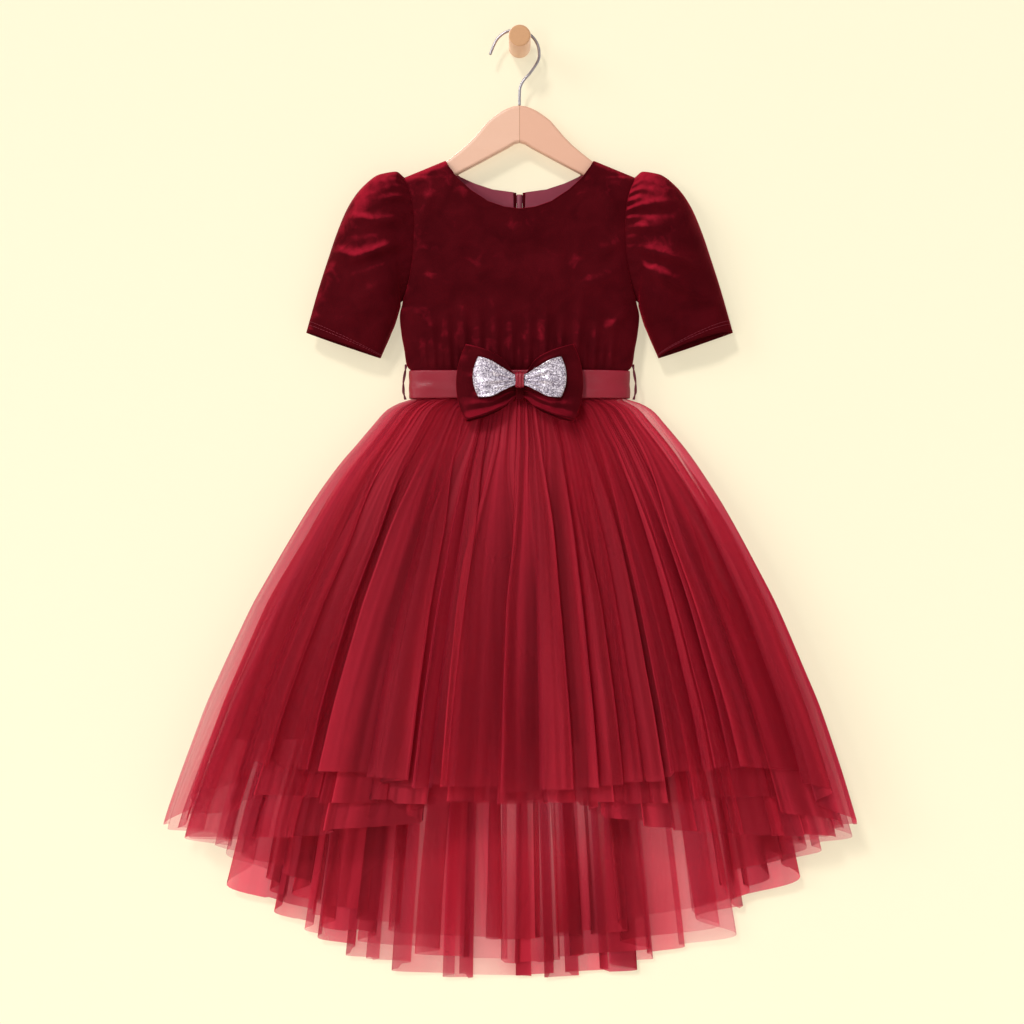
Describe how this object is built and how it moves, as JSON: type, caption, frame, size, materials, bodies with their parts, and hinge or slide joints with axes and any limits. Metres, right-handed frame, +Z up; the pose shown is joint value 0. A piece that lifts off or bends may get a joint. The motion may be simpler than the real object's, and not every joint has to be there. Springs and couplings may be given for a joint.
{
  "type": "toddler party dress on a wooden hanger and wall peg",
  "caption": "High-low party dress with velvet bodice, puff sleeves, satin sash, double bow and gathered net skirt, hanging on a wooden hanger from a wall peg.",
  "frame": {"origin": "centre of the wall peg's flat back face, which lies on the wall", "axes": "+Z up, +Y into the wall, +X to the right of someone who looks at the dress"},
  "size_m": [0.771, 0.0954, 1.0784],
  "materials": {
    "wood": "pale clear-lacquered beech",
    "steel": "polished steel wire",
    "velvet": "deep wine velvet with a soft pile",
    "bow_velvet": "deep wine velvet with a soft pile",
    "lining_satin": "mauve wine satin",
    "zip_nylon": "dyed nylon coil",
    "zip_metal": "dyed zip metal",
    "satin": "glossy cherry satin",
    "thread": "twisted sewing thread",
    "glitter": "silver glitter cloth",
    "tulle": "fine wine-red net",
    "skirt_satin": "wine satin"
  },
  "bodies": {
    "dress": {"wall_peg": "wood", "hanger_wood": "wood", "hanger_hook": "steel", "bodice_front": "velvet", "bodice_back_left": "velvet", "bodice_back_right": "velvet", "neck_lining_left": "lining_satin", "neck_lining_right": "lining_satin", "sleeve_left": "velvet", "sleeve_right": "velvet", "zip_coil": "zip_nylon", "zip_slider": "zip_metal", "sash_belt": "satin", "belt_loop_left": "thread", "belt_loop_right": "thread", "bow_velvet_left": "bow_velvet", "bow_velvet_right": "bow_velvet", "bow_velvet_band": "bow_velvet", "bow_glitter_left": "glitter", "bow_glitter_right": "glitter", "bow_knot": "satin", "tulle_outer_front": "tulle", "tulle_outer_back": "tulle", "tulle_middle_front": "tulle", "tulle_middle_back": "tulle", "tulle_inner_front": "tulle", "tulle_inner_back": "tulle", "skirt_lining_front": "skirt_satin", "skirt_lining_back": "skirt_satin"},
    "pull_tab": {"zip_pull": "zip_metal"}
  },
  "joints": [
    {"name": "pull_tab_swing", "type": "hinge", "parent": "dress", "child": "pull_tab", "pos_m": [0, -0.00185, -0.1732], "axis": [1, 0, 0], "range_deg": [0, 165]}
  ]
}
